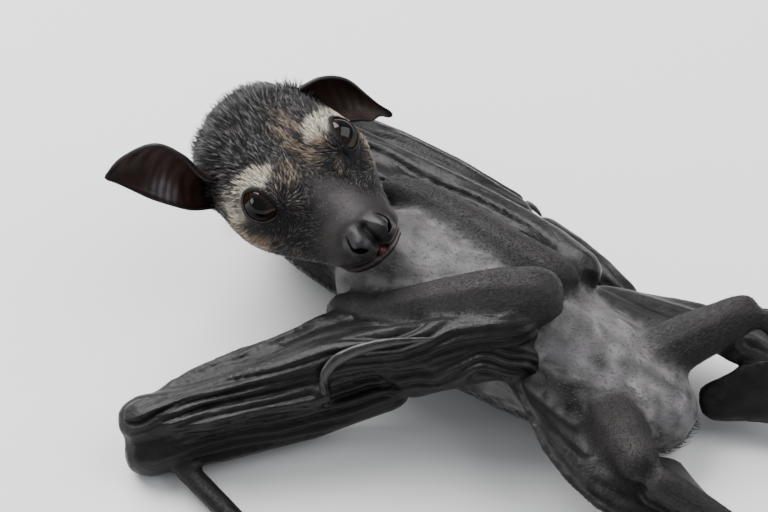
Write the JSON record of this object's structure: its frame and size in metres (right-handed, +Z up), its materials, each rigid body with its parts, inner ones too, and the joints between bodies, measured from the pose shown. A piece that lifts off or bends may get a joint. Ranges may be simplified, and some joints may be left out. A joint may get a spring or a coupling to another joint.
{
  "type": "bat",
  "caption": "Life-size young flying fox lying on its back with its head raised and its wings folded, a still museum-style animal model.",
  "frame": {"origin": "centre of the bottom of the overall box, on the floor the animal lies on", "axes": "+Z up; -Y is the side the head is seen from; the spine runs from the neck towards +X and -Y, 33 degrees off +X; the model lies on its back"},
  "size_m": [0.1706, 0.1392, 0.0449],
  "materials": {
    "head_fur": "dense short fur, dark grey with cream brows",
    "body_fur": "short velvety fur, near black",
    "chest_skin": "thinly haired grey skin",
    "bare_skin": "satin bare skin, near black",
    "claw": "glossy dark horn",
    "eye": "wet, dark brown",
    "tongue": "moist red"
  },
  "bodies": {
    "root": {"head": "head_fur", "eye_right": "eye", "eye_left": "eye", "nose": "bare_skin", "tongue": "tongue", "ear_right": "bare_skin", "ear_left": "bare_skin", "neck": "body_fur", "trunk": "chest_skin", "upper_arm_right": "body_fur", "forearm_right": "bare_skin", "hand_right": "bare_skin", "fingers_right": "bare_skin", "thumb_right": "bare_skin", "thumb_claw_right": "claw", "index_finger_right": "bare_skin", "index_claw_right": "claw", "front_membrane_right": "bare_skin", "flank_membrane_right": "bare_skin", "upper_arm_left": "body_fur", "forearm_left": "bare_skin", "hand_left": "bare_skin", "fingers_left": "bare_skin", "thumb_left": "bare_skin", "thumb_claw_left": "claw", "index_finger_left": "bare_skin", "index_claw_left": "claw", "front_membrane_left": "bare_skin", "flank_membrane_left": "bare_skin", "thigh_right": "body_fur", "shank_right": "body_fur", "foot_right": "bare_skin", "toe_claw_right_1": "claw", "toe_claw_right_2": "claw", "toe_claw_right_3": "claw", "toe_claw_right_4": "claw", "toe_claw_right_5": "claw", "rear_membrane_right": "bare_skin", "thigh_left": "body_fur", "shank_left": "body_fur", "foot_left": "bare_skin", "toe_claw_left_1": "claw", "toe_claw_left_2": "claw", "toe_claw_left_3": "claw", "toe_claw_left_4": "claw", "toe_claw_left_5": "claw", "rear_membrane_left": "bare_skin"}
  },
  "joints": []
}
